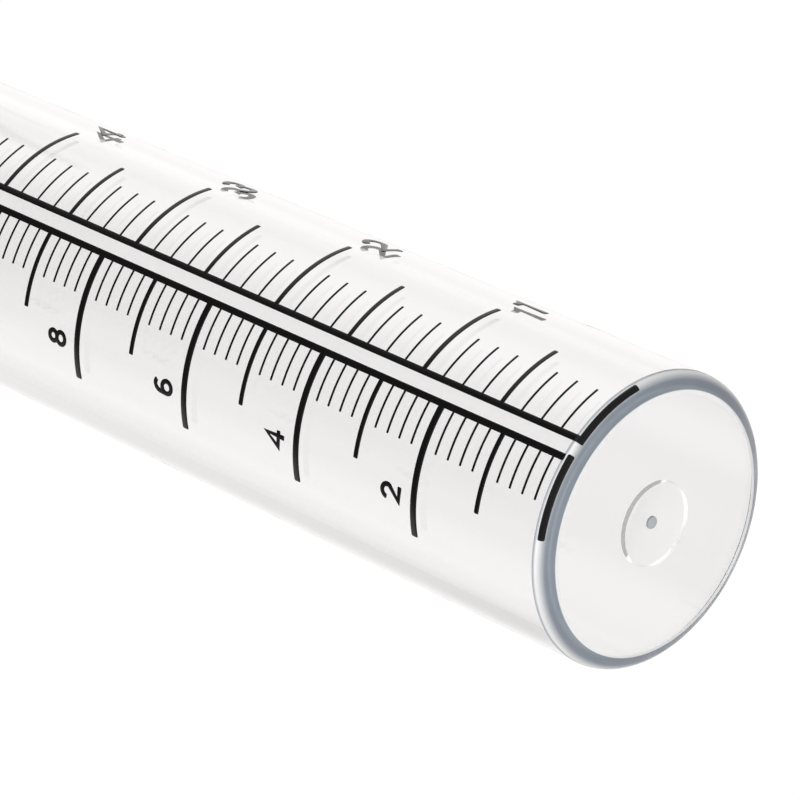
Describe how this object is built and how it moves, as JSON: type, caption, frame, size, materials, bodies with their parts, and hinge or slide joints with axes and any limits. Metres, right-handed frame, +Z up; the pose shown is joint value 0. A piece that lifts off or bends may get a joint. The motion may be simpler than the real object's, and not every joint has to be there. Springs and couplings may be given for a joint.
{
  "type": "manual rain gauge",
  "caption": "Clear graduated tube, closed below and open above, hanging by its rim in a collar in a riveted steel holder for a post; it lifts out to be read and emptied.",
  "frame": {"origin": "centre of the back plate's rear face, which lies on the post", "axes": "+Z up along the tube towards its mouth, +Y into the post, -Y the front, which the scales face"},
  "size_m": [0.084, 0.0526, 0.208],
  "materials": {
    "holder_coat": "fine textured powder coat",
    "rivet_steel": "stainless, set cold",
    "collar_rubber": "moulded, matt",
    "clear_plastic": "clear, moulded, polished",
    "scale_ink": "glossy screen-printed ink"
  },
  "bodies": {
    "holder": {"back_plate": "holder_coat", "ring_strap": "holder_coat", "rivet_upper_left": "rivet_steel", "rivet_upper_right": "rivet_steel", "rivet_lower_left": "rivet_steel", "rivet_lower_right": "rivet_steel"},
    "collar": {"collar": "collar_rubber"},
    "tube": {"measuring_tube": "clear_plastic", "inch_scale_lines": "scale_ink", "inch_scale_numerals": "scale_ink", "cm_scale_lines": "scale_ink", "cm_scale_numerals": "scale_ink"}
  },
  "joints": [
    {"name": "collar_turn", "type": "hinge", "parent": "holder", "child": "collar", "pos_m": [0, -0.03005, 0], "axis": [0, 0, 1], "continuous": true},
    {"name": "tube_lift", "type": "slide", "parent": "collar", "child": "tube", "axis": [0, 0, 1], "range_m": [0, 0.21]}
  ]
}
